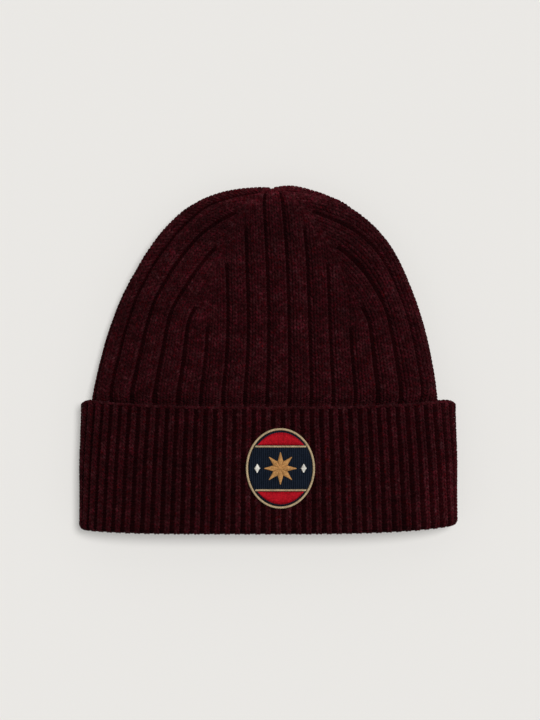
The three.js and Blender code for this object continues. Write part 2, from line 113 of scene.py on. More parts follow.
BADGE = Form(x=7.2, y=38.2, half_width=20.0, half_height=23.3)
BADGE_DENT = Form(depth=0.9, margin=1.0, over=(1.02, 1.22))
BADGE_UNDERSIDE = CUFF.crest - BADGE_DENT.depth + 0.5

# ---- How finely the surfaces are sampled ----

COURSE_POINTS = 40  # along one gore's part of a course
SIDE_POINTS = 160
SECTION_POINTS = 60
EDGE_POINTS = 2048
GRID_COLUMNS = 140
GRID_RISES = np.concatenate([np.linspace(-0.1, 0.9, 110), 1.0 - 0.1 * np.linspace(1.0, 0.03, 40)[1:]])
ROW_SAMPLES = 500  # of the rise, to set the courses by
BAND = Form(columns=6 * CUFF_RIBS, outside=46, fold=13, inside=30)  # the last three are rows

# ---- Knit, at yarn level ----

FACE = -0.5  # from the solid's face to the middle of the yarn
CROWN_GROOVE_DEPTH = 2.6
CROWN_GROOVE_REACH = (0.46, 0.22)  # in ribs from the middle of a groove to its two edges
CROWN_GROOVE_FLOOR = 0.02  # half width of its floor, in ribs
GROOVE_UNEVEN = Form(share=0.22, waves=((2.9, 17.0), (1.7, -29.0)))  # of its depth, by rib and rise
GROOVE_AT_TOP = Form(loss=0.7, over=(0.84, 0.97))
GROOVE_AT_OUTLINE = Form(share=0.3, over=(0.0, 0.45))  # of its depth that is left there
RIB_DOME = Form(height=0.8, over=(0.2, 0.9))  # of a rib's middle over its sides, less at a dart
HEM_DIP = Form(depth=5.6, low=71.0, bottom=75.6, high=84.5, over=(0.4, 0.95))
DART_CREASE = Form(depth=0.8, width=0.75, middle=0.6, low=(0.30, 0.45), high=(0.86, 0.97))
WALE = (0.280, 0.268)  # width of a stitch, in ribs: front or back, side
EVEN_WALE = 0.25  # where a groove has ended
NARROWEST = 0.2  # this share of a stitch has to lie on its gore, beside a dart
CROWN_YARN = 0.76  # half width of a stitch's leg
FLATNESS = 0.74  # of a leg: its thickness to its width
SLIP = Form(depth=0.8, over=(0.2, 1.0))  # a wale that ends slips under the wale of the dart
DART_SINK = 0.1  # of the dart's own wales
CROWN_ROWS = (55, 72)  # courses from the crown's base to its top: front or back, side
DART_ROWS = 62
HEM_CROWD = Form(more=(0.6, 0.0), over=(0.02, 0.07))  # more of them where the crown dips
FIRST_RISE, LAST_RISE = -0.075, 0.985
COURSE = 2.2  # height of one course
CROWN_PURL_WIDTH = 0.15  # in ribs
BACKING = -0.55  # the backing sheet lies this far under the face of the knit
LINING_GAP = Form(gap=1.3, over=(-0.09, -0.03))  # the lining stands clear of the grooves
LINING_WAVE = 0.5  # of the lining, once to a rib
SHELL_COLUMNS = 48  # of the crown's shell, to a gore: six to a rib
SHELL_SQUEEZE = 0.03  # columns past a dart crowd beside it, this share of their distance
SHELL_RISES = np.linspace(-0.088, 0.985, 84)
LINING_RISES = np.linspace(-0.09, 0.97, 36)
SHELL_TOP_SINK = 0.8

CUFF_GROOVE_DEPTH = 1.6
CUFF_GROOVE_EDGES = (0.13, 0.43)  # in ribs from the middle of a rib
CUFF_ROW = 1.92
EDGE_START = 1.5  # of the bound edge, along the cuff from the solid's free edge
FIRST_ROW = EDGE_START + 0.8  # of the knit, along the cuff
OUTER_LENGTH = CUFF_FREE + 3.0  # of the outer face's knit
INNER_LENGTH = OUTER_LENGTH + 30.0  # up to where the stitches are followed into the mouth
CUFF_WALE = 0.59  # width of the knit wale, in ribs
CUFF_YARN = 0.66
CUFF_FAN = 0.009  # the cuff's ribs spread towards its folded edge
CUFF_PURL_WIDTH = 0.40
CUFF_SHELL = Form(columns=4 * CUFF_RIBS, rows=52, sink=0.9 * BACKING)
CUFF_HIDDEN_HEIGHTS = (CUFF_INNER_TOP, 45.0, 20.0, 6.0)  # of the inner layer, down to the slit
CUFF_BEHIND = (  # depth under the outer face and height, from the slit to the lip
    (FOLD_TURN, 4.6),
    (WALL - 0.1, 6.0),
    (WALL - 0.1, 40.0),
    (WALL - 0.1, CUFF_FREE - EDGE_START),
    (2.3, CUFF_FREE - EDGE_START + 0.4),
)
EDGE_LOOP = (  # of the bound edge: place across, along and under the cuff
    (-0.75, 0.8, 1.3),
    (-0.25, 0.1, 0.7),
    (0.25, 0.0, 0.7),
    (0.75, 0.6, 1.7),
)
EDGE_YARN = (0.85, 0.8)

LEG_ACROSS = np.array([0.07, 0.17, 0.33, 0.43])  # of the stitch's width, from its middle
LEG_ALONG = np.array([-0.28, 0.15, 0.68, 1.12])  # of the row's height
LEG_LIFT = np.array([-0.75, 0.05, 0.20, -0.80])  # of the yarn's half thickness
LEG_TAPER = np.array([0.62, 1.0, 1.0, 0.62])
LEG_WOBBLE = 0.035
LEG_UNEVEN = (0.94, 1.06)
LEG_SPREAD = Form(start=1.12, most=1.5)  # a leg this much longer than most lies wider
PURL_ACROSS = np.array([-0.5, 0.0, 0.5])
PURL_LIFT = np.array([-0.20, 0.0, -0.20])  # in mm
PURL_TAPER = np.array([0.85, 1.0, 0.85])
PURL_SLANT = 0.12
PURL_YARN = (0.66, 0.45)  # half thickness, along the wale in rows and outwards in mm
PURL_UNEVEN = (0.92, 1.05)
FRONT_SIDES, BACK_SIDES, PURL_SIDES = 5, 4, 4  # of a yarn
YARN_MAP = "OFBake"  # lays a piece's yarns out as they lie on its surface
MAP_MARGIN = 0.01

# ---- Badge ----

GROUND_INSET = 1.7  # from the badge's outline to its woven ground
GROUND_TOP = BADGE_UNDERSIDE + 0.9
GROUND_PLATE = Form(sink=0.4, corners=72)
CORD = Form(count=31, steps=80, pitch=1.15, half_width=0.56, half_height=0.42,
            sway=0.05, sway_length=1.7, bump=0.07, bump_length=0.95)
STITCHING = GROUND_TOP + 0.25  # underside of the stitched shapes
THREAD = 0.24  # half thickness of an embroidery thread
THREAD_SIDES = 6
SATIN = Form(arch=0.5, jitter=0.03, margin=(0.3, 0.2), taper=(0.7, 1.0, 1.0, 1.0, 0.7))
BORDER = Form(width=1.4, height=1.7, corners=721, wraps=146, step=0.002, wrap_points=8, slant=0.45,
              turns=(math.radians(-35.0), math.radians(215.0)), thread=(0.42, 0.47),
              core_inset=0.35, core_sides=10)
CAP = Form(start=13.4, inset=2.6, least=0.5, pitch=0.40, slant=0.25)
LINE = Form(y=12.6, width=1.0, reach=14.5, pitch=0.42, slant=0.35, sink=0.1)
STAR = Form(points=8, reach=9.6, waist=4.4, height=0.8, fall=1.6, margin=0.3, pitch=0.40,
            slant=0.45, back=0.1, taper=(0.8, 1.0, 1.0, 0.7))
STAR_STEPS = np.array([-0.12, 0.35, 0.75, 1.0])  # of a thread, from a ray's ridge to its edge
DIAMOND = Form(x=13.4, half_width=1.7, half_height=2.6, pitch=0.38, slant=0.1)

# ---- Stage, in metres ----

FLOOR_COLOUR = (0.535, 0.526, 0.511)
FLOOR_GLOW = (0.280, 0.276, 0.266)  # the table is lit from below as well
FLOOR_REACH = 3.0
CAMERA_PLACE = (0.0012, 0.0002, 1.6)
VIEW_HEIGHT = 0.4176  # length that the picture's height shows
SCALE_HEIGHT = 0.026  # at this height over the table
WORLD_COLOUR = (1.0, 0.99, 0.975)
WORLD_STRENGTH = 0.27

# ---- Crown surface ----

def smooth(low, high, value):
    """0 below low, 1 above high, and an even curve between them."""
    t = np.clip((value - low) / (high - low), 0.0, 1.0)
    return t * t * (3.0 - 2.0 * t)


def lerp(a, b, t):
    return a + (b - a) * t


def unit(vectors):
    return vectors / np.maximum(np.linalg.norm(vectors, axis=-1, keepdims=True), 1e-9)


def along_line(line, fractions):
    """Points at fractions of the length of a polyline."""
    steps = np.linalg.norm(np.diff(line, axis=0), axis=1)
    lengths = np.concatenate([[0.0], np.cumsum(steps)])
    target = np.asarray(fractions) * lengths[-1]
    return np.stack([np.interp(target, lengths, line[:, k]) for k in range(line.shape[1])], axis=-1)


def outline_value(shape, x, y):
    """1 on the outline of a shape as seen from above, and less inside it."""
    across = np.abs(x / shape.half_width) ** shape.across
    if shape.top is None:
        return across
    t = np.clip((y - shape.start) / (shape.top - shape.start), 0.0, None)
    return across + t ** shape.along


def upper_height(shape, value):
    value = np.clip(value, 0.0, 1.0)
    return shape.fold + (shape.crest - shape.fold) * np.sqrt(1.0 - value ** 2)


def lower_height(shape, value):
    past = np.clip((value - UNDERSIDE_FLAT) / (1.0 - UNDERSIDE_FLAT), 0.0, 1.0)
    return shape.fold - (shape.fold - shape.floor) * np.sqrt(1.0 - past ** 2)


def side_line(shape):
    """The outline of the crown's right side, from its base to the top."""
    t = (CROWN_BASE - shape.start) / (shape.top - shape.start)
    angle = np.linspace(math.asin(t ** (shape.along / 2)), math.pi / 2, SIDE_POINTS)
    x = shape.half_width * np.clip(np.cos(angle), 0.0, 1.0) ** (2 / shape.across)
    y = shape.start + (shape.top - shape.start) * np.sin(angle) ** (2 / shape.along)
    return np.stack([x, y], axis=-1)


for shape in (CROWN, CAVITY):
    shape.side = side_line(shape)


def fold_point(shape, rise):
    """Where the right side of the crown turns under, at a rise."""
    if rise >= 0.0:
        return along_line(shape.side, [rise])[0]
    y = CROWN_BASE + rise * (shape.top - CROWN_BASE)
    t = (y - shape.start) / (shape.top - shape.start)
    return np.array([shape.half_width * (1.0 - t ** shape.along) ** (1.0 / shape.across), y])


def narrowing(rise, column):
    """A column of the narrowing table at a rise, on a curve that turns smoothly at each row."""
    dense = np.linspace(-0.1, 1.1, 241)
    straight = np.interp(dense, NARROWING[:, 0], NARROWING[:, column])
    weights = np.hanning(NARROWING_TURN + 2)[1:-1]
    padded = np.pad(straight, NARROWING_TURN // 2, mode="edge")
    rounded = np.convolve(padded, weights / weights.sum(), mode="valid")
    return np.interp(rise, dense, lerp(rounded, straight, smooth(*NARROWING_SHARP, dense)))


def half_ribs(rise):
    return narrowing(rise, 1)


def dart_half_width(shape, rise):
    """From the middle of the front to a dart."""
    return half_ribs(rise) * narrowing(rise, 2) * shape.half_width / CROWN.half_width


def half_course(shape, dart, fold, height):
    """A side gore's course from a dart to the fold, closer set towards the fold."""
    t = 1.0 - (1.0 - np.linspace(0.0, 1.0, COURSE_POINTS)) ** 2
    x = lerp(dart[0], fold[0], t)
    y = lerp(dart[1], fold[1], t)
    value = outline_value(shape, x, y)
    value[-1] = 1.0
    return np.stack([x, y, height(shape, value)], axis=-1)


def course_lines(shape, rise):
    """One course of the crown: a line for each gore, in the order front, left, back, right."""
    y = CROWN_BASE + rise * (shape.top - CROWN_BASE)
    half = dart_half_width(shape, rise)
    shift = TURN.length * (1.0 - min(max(rise, 0.0), 1.0) ** TURN.power)
    fold = fold_point(shape, rise)
    left_fold = (-fold[0], fold[1])

    def span(start, end, height):
        x = np.linspace(start, end, COURSE_POINTS)
        return np.stack([x, np.full_like(x, y), height(shape, outline_value(shape, x, y))], axis=-1)

    left = half_course(shape, (shift - half, y), left_fold, upper_height)
    left_back = half_course(shape, (-shift - half, y), left_fold, lower_height)[::-1][1:]
    right = half_course(shape, (-shift + half, y), fold, lower_height)
    right_front = half_course(shape, (shift + half, y), fold, upper_height)[::-1][1:]
    return [
        span(shift + half, shift - half, upper_height),
        np.concatenate([left, left_back]),
        span(-shift - half, -shift + half, lower_height),
        np.concatenate([right, right_front]),
    ]


def settle(points):
    """The lean of the hat, the rise of its back over the cuff, and the uneven top."""
    x, y, z = points[..., 0], points[..., 1], points[..., 2]
    near_top = smooth(*TOP_HUMP.over, y)
    raised = HEM_RAISE.height * (1.0 - smooth(*HEM_RAISE.over, y))
    hump = TOP_HUMP.height * near_top * np.exp(-(((x - TOP_HUMP.x) / TOP_HUMP.spread) ** 2))
    tucked = x * (1.0 - HEM_TUCK.share * (1.0 - smooth(*HEM_TUCK.over, y)))
    return np.stack([tucked + LEAN.at_base + LEAN.per_length * (y - CROWN_BASE),
                     y + hump,
                     z + raised * (1.0 - z / CROWN.crest)], axis=-1)


class Grid:
    """A surface sampled on a grid: rows of points, read back smoothly between them."""

    def __init__(self, points, rows, closed):
        self.rows = np.asarray(rows)
        self.closed = closed
        if closed:
            across = np.roll(points, -1, axis=1) - np.roll(points, 1, axis=1)
        else:
            across = np.gradient(points, axis=1)
        normals = unit(np.cross(np.gradient(points, axis=0), across))
        self.points, self.normals = [
            np.concatenate([values, values[:, :1]], axis=1) if closed else values
            for values in (points, normals)]

    def at(self, column, row):
        """Point and outward direction at a column share from 0 to 1 and a row coordinate."""
        rows, columns = self.points.shape[:2]
        share = column % 1.0 if self.closed else np.clip(column, 0.0, 1.0)
        i = np.interp(row, self.rows, np.arange(rows))
        j = share * (columns - 1)
        i0 = np.clip(np.floor(i).astype(int), 0, rows - 2)
        j0 = np.clip(np.floor(j).astype(int), 0, columns - 2)

        def between(values):
            low = lerp(values[i0, j0], values[i0, j0 + 1], (j - j0)[..., None])
            high = lerp(values[i0 + 1, j0], values[i0 + 1, j0 + 1], (j - j0)[..., None])
            return lerp(low, high, (i - i0)[..., None])

        return between(self.points), unit(between(self.normals))


def spread(gore, columns, rise):
    """Shares along a course: a side gore's ribs lie further back on the upper part of the hat."""
    if gore % 2 == 0:
        return columns
    draw = SIDE_DRAW[gore]
    drawn = draw.share * smooth(*draw.over, rise) * (1.0 - smooth(*SIDE_DRAW_END, rise))
    towards_back = 1.0 if gore == 1 else -1.0
    return columns + towards_back * drawn * np.sin(math.pi * columns)


def crown_grids(shape):
    """The gores of a crown as grids, in the order front, left, back, right."""
    columns = np.linspace(0.0, 1.0, GRID_COLUMNS)
    rows = [[settle(along_line(line, spread(gore, columns, rise)))
             for gore, line in enumerate(course_lines(shape, rise))] for rise in GRID_RISES]
    grids = [Grid(np.array([row[gore] for row in rows]), GRID_RISES, False) for gore in range(4)]
    for gore, grid in enumerate(grids):
        grid.gore = gore
    return grids


def groove_end(gore, distance):
    """Rise at which a groove this many ribs from the middle of its gore runs into the dart.

    The two beside the middle rib of the front and back run up to the top."""
    end = np.interp(distance + GROOVE_STOP[gore % 2], NARROWING[::-1, 1], NARROWING[::-1, 0])
    return end if gore % 2 else np.where(distance < 1.0, 1.1, end)


def crown_relief(gore, column, rise, facing):
    """How far the knit stands over or under the smooth crown, by rib position and height.

    facing: 1 where it faces up or down, 0 along the hat's outline, where its grooves are shallow."""
    middle = np.floor(column) + 0.5
    away = np.abs(column - middle)
    reach = np.where(column < middle, *CROWN_GROOVE_REACH)
    end = groove_end(gore, np.abs(middle))
    is_open = 1.0 - smooth(end - GROOVE_FADE[gore % 2], end, rise)
    is_open = is_open * (1.0 - GROOVE_AT_TOP.loss * smooth(*GROOVE_AT_TOP.over, rise))
    is_open = is_open * lerp(GROOVE_AT_OUTLINE.share, 1.0, smooth(*GROOVE_AT_OUTLINE.over, facing))
    waves = [np.sin(by_rib * middle + by_rise * rise) for by_rib, by_rise in GROOVE_UNEVEN.waves]
    uneven = 1.0 + GROOVE_UNEVEN.share * waves[0] * waves[1]
    groove = (1.0 - smooth(CROWN_GROOVE_FLOOR, reach, away)) * is_open * uneven
    inside = smooth(*RIB_DOME.over, half_ribs(rise) - np.abs(column))
    dome = RIB_DOME.height * (1.0 - (1.0 - 2.0 * away) ** 2) * inside
    return FACE + dome - CROWN_GROOVE_DEPTH * groove


def hem_dip(point, direction):
    """How far the front and back of the crown sink at the cuff's free edge; its sides don't."""
    y = point[..., 1]
    above = np.clip((HEM_DIP.high - y) / (HEM_DIP.high - HEM_DIP.bottom), 0.0, 1.0) ** 2
    below = smooth(HEM_DIP.low, HEM_DIP.bottom, y)
    flat = smooth(*HEM_DIP.over, np.abs(direction[..., 2]))
    return HEM_DIP.depth * np.where(y > HEM_DIP.bottom, above, below) * flat


def dart_crease(gore, column, rise):
    """The side gores sink beside the darts, where the front and back overlie them."""
    if gore % 2 == 0:
        return 0.0
    away = (half_ribs(rise) - np.abs(column)) / DART_CREASE.width
    there = smooth(*DART_CREASE.low, rise) * (1.0 - smooth(*DART_CREASE.high, rise))
    return DART_CREASE.depth * there * np.exp(-(away - DART_CREASE.middle) ** 2)


def crown_surface(grid, column, rise, lift):
    """Points and outward directions of the crown's knit. column: in ribs from the gore's middle."""
    share = 0.5 + column / (2.0 * half_ribs(rise))
    point, direction = grid.at(share, rise)
    relief = crown_relief(grid.gore, column, rise, np.abs(direction[..., 2]))
    height = relief - dart_crease(grid.gore, column, rise) - hem_dip(point, direction) + lift
    return point + direction * height[..., None], direction


# ---- Cuff surface ----

def cuff_section(y):
    """The closed section of the cuff at a height."""
    shape = Form(**vars(CUFF))
    shape.half_width -= CUFF_NARROWER.by * smooth(*CUFF_NARROWER.over, y / CUFF_FREE)
    t = 1.0 - (1.0 - np.arange(SECTION_POINTS) / SECTION_POINTS) ** 2
    x = shape.half_width * t
    value = outline_value(shape, x, 0.0)
    up = np.stack([x, upper_height(shape, value)], axis=-1)
    down = np.stack([x, lower_height(shape, value)], axis=-1)
    end = np.array([[shape.half_width, shape.fold]])
    half = np.concatenate([up, end, down[::-1]])
    mirrored = half * np.array([-1.0, 1.0])
    return np.concatenate([mirrored, half[::-1][1:]])


def section_points(y, fractions):
    """Points of the cuff's outer face at a height, with their outward directions."""
    line = cuff_section(y)
    dense = along_line(line, np.arange(EDGE_POINTS) / EDGE_POINTS)
    tangent = np.roll(dense, -1, axis=0) - np.roll(dense, 1, axis=0)
    outward = unit(np.stack([tangent[:, 1], -tangent[:, 0]], axis=-1))
    index = (np.asarray(fractions) % 1.0) * EDGE_POINTS
    low = np.floor(index).astype(int) % EDGE_POINTS
    high = (low + 1) % EDGE_POINTS
    t = (index - np.floor(index))[..., None]
    return lerp(dense[low], dense[high], t), unit(lerp(outward[low], outward[high], t))


def badge_dent(x, y):
    """How far the badge presses the cuff in."""
    reach = np.hypot((x - BADGE.x) / (BADGE.half_width + BADGE_DENT.margin),
                     (y - BADGE.y) / (BADGE.half_height + BADGE_DENT.margin))
    return BADGE_DENT.depth * (1.0 - smooth(*BADGE_DENT.over, reach))


def band_row(fractions, depth, y):
    """One ring of the cuff: depth under its outer face and height on the band, both in mm."""
    turned = fractions + CUFF_FAN * np.sin(2.0 * math.pi * fractions) * (1.0 - y / CUFF_FREE)
    point, outward = section_points(y, turned)
    x = point[:, 0]
    aside = np.abs(x - BOTTOM_RISE.middle) / BOTTOM_RISE.reach
    bottom = BOTTOM_RISE.height * aside ** BOTTOM_RISE.power
    half_width = CUFF.half_width - CUFF_NARROWER.by
    top = lerp(CUFF_FREE, CUFF_ENDS.height, np.abs(x / half_width) ** CUFF_ENDS.power)
    past = np.clip((np.abs(x) - half_width) / CORNER.radius + 1.0, 0.0, 1.0)
    top = top - CORNER.drop * (1.0 - np.sqrt(1.0 - CORNER.roundness * past ** 2))
    height = lerp(bottom, top, y / CUFF_FREE)
    pressed = badge_dent(x, height) * (point[:, 1] > CUFF.fold) * max(0.0, 1.0 - depth / WALL)
    point = point - outward * (depth + pressed)[:, None]
    bulge = RIGHT_BULGE.by * smooth(*RIGHT_BULGE.over, x / CUFF.half_width)
    return np.stack([point[:, 0] + bulge, height, point[:, 1]], axis=-1)


def hem_loop(shape):
    """The crown's course at the top of the cuff's inner layer, from the middle of the front."""
    lines = course_lines(shape, (CUFF_INNER_TOP - CROWN_BASE) / (shape.top - CROWN_BASE))
    front = lines[0]
    middle = COURSE_POINTS // 2
    others = [line[1:] for line in lines[1:]]
    return settle(np.concatenate([front[middle:], *others, front[1:middle + 1]]))


def inner_row(fractions, depth, y, loop):
    """One ring of the cuff's inner layer, which takes the shape of a loop towards its top."""
    ring = band_row(fractions, depth, y)
    blend = float(smooth(*CUFF_TO_HEM, y / CUFF_INNER_TOP))
    goal = along_line(loop, fractions)
    goal[:, 1] = y
    return lerp(ring, goal, blend)


def cuff_grid():
    """The knit face of the cuff along its length: down the outside, round the fold, up inside."""
    fractions = np.arange(BAND.columns) / BAND.columns
    turn = FOLD_TURN
    loop = hem_loop(CAVITY)
    rows = []
    lengths = []
    for y in np.linspace(CUFF_FREE, turn, BAND.outside):
        lengths.append(CUFF_FREE - y)
        rows.append(band_row(fractions, 0.0, y))
    for angle in np.linspace(0.0, math.pi, BAND.fold)[1:]:
        lengths.append(CUFF_FREE - turn + turn * angle)
        rows.append(band_row(fractions, turn * (1 - math.cos(angle)), turn * (1 - math.sin(angle))))
    for y in np.linspace(turn, CUFF_INNER_TOP, BAND.inside)[1:]:
        lengths.append(CUFF_FREE - 2 * turn + turn * math.pi + y)
        rows.append(inner_row(fractions, 2 * turn, y, loop))
    grid = Grid(np.array(rows), lengths, True)
    grid.normals *= -1.0
    return grid


def cuff_relief(fraction, length):
    """The cuff's ribs: a knit wale stands up between sunk purl wales, less so round the fold."""
    phase = fraction * CUFF_RIBS
    away = np.abs(phase - np.round(phase))
    at_fold = np.exp(-(((length - FOLD.length) / FOLD.reach) ** 2))
    groove = CUFF_GROOVE_DEPTH * (1.0 - FOLD.flatter * at_fold) * smooth(*CUFF_GROOVE_EDGES, away)
    return FACE + FOLD.swell * at_fold - groove


def cuff_surface(grid, fraction, length, lift):
    """Points and outward directions of the cuff's knit."""
    point, direction = grid.at(fraction, length)
    return point + direction * (cuff_relief(fraction, length) + lift)[..., None], direction


# ---- Mesh makers ----

# A mesh in the making is (points, polygons, places): points (n, 3) in mm of the hat, a list of
# (k, m) index arrays, and where each point lies on its surface, as (n, 2), or None.


def make_object(name, made, material):
    """An object of a mesh in the making, with its yarns laid out on a map."""
    points, polygons, places = made
    mesh = bpy.data.meshes.new(name)
    place = points / 1000.0 + np.array([0.0, FOLDED_EDGE / 1000.0, 0.0])
    loops = np.concatenate([p.reshape(-1) for p in polygons]).astype(np.int32)
    totals = np.concatenate([np.full(len(p), p.shape[1]) for p in polygons])
    starts = np.concatenate([[0], np.cumsum(totals)[:-1]]).astype(np.int32)
    mesh.vertices.add(len(place))
    mesh.vertices.foreach_set("co", place.astype(np.float32).reshape(-1))
    mesh.loops.add(len(loops))
    mesh.loops.foreach_set("vertex_index", loops)
    mesh.polygons.add(len(totals))
    mesh.polygons.foreach_set("loop_start", starts)
    mesh.polygons.foreach_set("use_smooth", np.ones(len(totals), dtype=bool))
    mesh.update(calc_edges=True)
    if places is not None:
        low, high = places.min(axis=0), places.max(axis=0)
        share = MAP_MARGIN + (1.0 - 2.0 * MAP_MARGIN) * (places - low) / (high - low)
        corners = mesh.uv_layers.new(name=YARN_MAP).uv
        corners.foreach_set("vector", share[loops].astype(np.float32).reshape(-1))
    mesh.materials.append(material)
    piece = bpy.data.objects.new(name, mesh)
    bpy.context.scene.collection.objects.link(piece)
    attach(piece, "root")
    return piece


def tubes(paths, normals, half_width, half_height, sides, taper=None, places=None):
    """Closed tubes along many short paths at once: paths and normals are (n, m, 3)."""
    n, m, _ = paths.shape
    tangent = unit(np.gradient(paths, axis=1))
    side = unit(np.cross(tangent, normals))
    up = np.cross(side, tangent)
    scale = np.ones(m) if taper is None else np.asarray(taper)
    width = np.broadcast_to(half_width, (n,))[:, None] * scale
    height = np.broadcast_to(half_height, (n,))[:, None] * scale
    angle = 2.0 * math.pi * (np.arange(sides) + 0.5) / sides
    ring = (paths[:, :, None, :]
            + side[:, :, None, :] * (width[:, :, None] * np.cos(angle))[..., None]
            + up[:, :, None, :] * (height[:, :, None] * np.sin(angle))[..., None])
    base = np.arange(n * m * sides).reshape(n, m, sides)
    following = np.roll(base, -1, axis=2)
    quads = np.stack([base[:, :-1], following[:, :-1], following[:, 1:], base[:, 1:]], axis=-1)
    ends = [base[:, 0, ::-1].reshape(-1, sides), base[:, -1].reshape(-1, sides)]
    if places is None:
        places = paths[..., :2]
    places = np.repeat(places[:, :, None, :], sides, axis=2)
    return ring.reshape(-1, 3), [quads.reshape(-1, 4)] + ends, places.reshape(-1, 2)


def join(parts):
    """Several meshes in the making as one; each has places."""
    polygons = []
    count = 0
    for part_points, part_polygons, _ in parts:
        polygons.extend(p + count for p in part_polygons)
        count += len(part_points)
    points, _, places = zip(*parts)
    return np.concatenate(points), polygons, np.concatenate(places)


def closed_rows(rows, poles=None):
    """A shell from rings of equal length: closed on itself, or by a point at each end."""
    rings = np.array(rows)
    n, m, _ = rings.shape
    base = np.arange(n * m).reshape(n, m)
    following = np.roll(base, -1, axis=1)
    points = rings.reshape(-1, 3)
    polygons = [np.stack([base[:-1], base[1:], following[1:], following[:-1]], axis=-1).reshape(-1, 4)]
    if poles is None:
        polygons.append(np.stack([base[-1], base[0], following[0], following[-1]], axis=-1))
    else:
        first, end = len(points), len(points) + 1
        points = np.concatenate([points, np.array(poles)])
        polygons.append(np.stack([np.full(m, first), base[0], following[0]], axis=-1))
        polygons.append(np.stack([base[-1], np.full(m, end), following[-1]], axis=-1))
    return points, polygons, None


# ---- Knit pieces ----

def yarn_paths(surface, steps):
    """Paths, outward directions and places of yarns.

    steps: for each of their points, the yarns' columns and rows and their lift."""
    points = []
    normals = []
    places = []
    for column, row, lift in steps:
        point, normal = surface(column, row, lift)
        points.append(point)
        normals.append(normal)
        places.append(np.stack([column, row], axis=-1))
    return np.stack(points, axis=1), np.stack(normals, axis=1), np.stack(places, axis=1)


def leg_tubes(surface, column, row, wale, row_height, yarn, sides):
    """Both legs of each knit stitch: surface gives a point for a column and a row coordinate."""
    parts = []
    for side in (-1.0, 1.0):
        wobble = rng.normal(0.0, LEG_WOBBLE, (len(column), 2))
        steps = [(column + side * (across + wobble[:, 0]) * wale,
                  row + (along + wobble[:, 1]) * row_height,
                  lift * yarn) for across, along, lift in zip(LEG_ACROSS, LEG_ALONG, LEG_LIFT)]
        paths, normals, places = yarn_paths(surface, steps)
        length = np.linalg.norm(paths[:, -1] - paths[:, 0], axis=-1)
        wider = np.clip(length / (LEG_SPREAD.start * np.median(length)), 1.0, LEG_SPREAD.most)
        thickness = yarn * rng.uniform(*LEG_UNEVEN, len(column))
        parts.append(tubes(paths, normals, wider * thickness, FLATNESS * thickness, sides,
                           LEG_TAPER, places))
    return join(parts)


def purl_tubes(surface, column, row, width, row_height, length):
    """Purl bumps: a short arc of yarn across each sunk stitch. length: of a row, in mm."""
    steps = [(column + across * width, row + row_height * PURL_SLANT * across, lift)
             for across, lift in zip(PURL_ACROSS, PURL_LIFT)]
    paths, normals, places = yarn_paths(surface, steps)
    thickness = rng.uniform(*PURL_UNEVEN, len(column))
    return tubes(paths, normals, PURL_YARN[0] * length * thickness, PURL_YARN[1] * thickness,
                 PURL_SIDES, PURL_TAPER, places)


def crown_rows(gore):
    """Rise and height, as a rise, of each course of a gore."""
    rises = np.linspace(FIRST_RISE, LAST_RISE, ROW_SAMPLES)
    density = 1.0 + HEM_CROWD.more[gore % 2] * (1.0 - smooth(*HEM_CROWD.over, rises))
    courses = CROWN_ROWS[gore % 2] * np.cumsum(density) * (rises[1] - rises[0])
    even = np.interp(np.arange(courses[0], courses[-1]), courses, rises)
    return even, np.gradient(even)


def crown_knit(grids, gore, sides):
    """The knit stitches of a gore: three wales to a rib, and more where its grooves have ended."""
    rises, steps = crown_rows(gore)
    wale = WALE[gore % 2]
    fade = GROOVE_FADE[gore % 2]
    reach = half_ribs(rises + 0.5 * steps) - NARROWEST * wale
    columns = []
    rows = []
    for rib in RIBS:
        for side in (-1.0, 0.0, 1.0):
            end = groove_end(gore, abs(rib + 0.5 * side))
            column = rib + side * lerp(wale, EVEN_WALE, smooth(end - fade, end, rises))
            there = np.abs(column) < reach
            columns.append(column[there])
            rows.append(rises[there])
    for groove in GROOVES:
        ended = rises > groove_end(gore, abs(groove)) - 0.5 * fade
        there = ended & (abs(groove) < reach)
        columns.append(np.full(there.sum(), groove))
        rows.append(rises[there])
    columns = np.concatenate(columns)
    rows = np.concatenate(rows)
    room = (half_ribs(rows) - np.abs(columns)) / wale
    slip = SLIP.depth * (1.0 - smooth(*SLIP.over, room))

    def surface(column, rise, lift):
        return crown_surface(grids[gore], column, rise, lift - slip)

    return leg_tubes(surface, columns, rows, wale, np.interp(rows, rises, steps), CROWN_YARN, sides)


def dart_knit(grids, sides):
    """The wales that run up the four darts, half of each stitch on the gore at either side."""
    rises = np.arange(FIRST_RISE, LAST_RISE, 1.0 / DART_ROWS)
    parts = []
    for dart in range(4):
        for grid, side in ((grids[dart], 1.0), (grids[(dart + 1) % 4], -1.0)):
            steps = []
            for across, along, lift in zip(LEG_ACROSS, LEG_ALONG, LEG_LIFT):
                rise = rises + along / DART_ROWS
                column = side * (half_ribs(rise) - across * WALE[1])
                steps.append((column, rise, lift * CROWN_YARN - DART_SINK))
            paths, normals, places = yarn_paths(partial(crown_surface, grid), steps)
            places[..., 0] = dart - side * LEG_ACROSS
            thickness = CROWN_YARN * rng.uniform(*LEG_UNEVEN, len(rises))
            parts.append(tubes(paths, normals, thickness, FLATNESS * thickness, sides, LEG_TAPER, places))
    return join(parts)


def crown_purl(grids, gore):
    """The purl stitches at the bottom of a gore's grooves."""
    rises, steps = crown_rows(gore)
    columns = []
    rows = []
    for groove in GROOVES:
        open_here = rises <= groove_end(gore, abs(groove)) - 0.5 * GROOVE_FADE[gore % 2]
        columns.append(np.full(open_here.sum(), groove))
        rows.append(rises[open_here])
    rows = np.concatenate(rows)
    points, polygons, places = purl_tubes(
        partial(crown_surface, grids[gore]), np.concatenate(columns), rows, CROWN_PURL_WIDTH,
        np.interp(rows, rises, steps), COURSE)
    return points, polygons, places + np.array([2.0 * WIDEST * gore, 0.0])


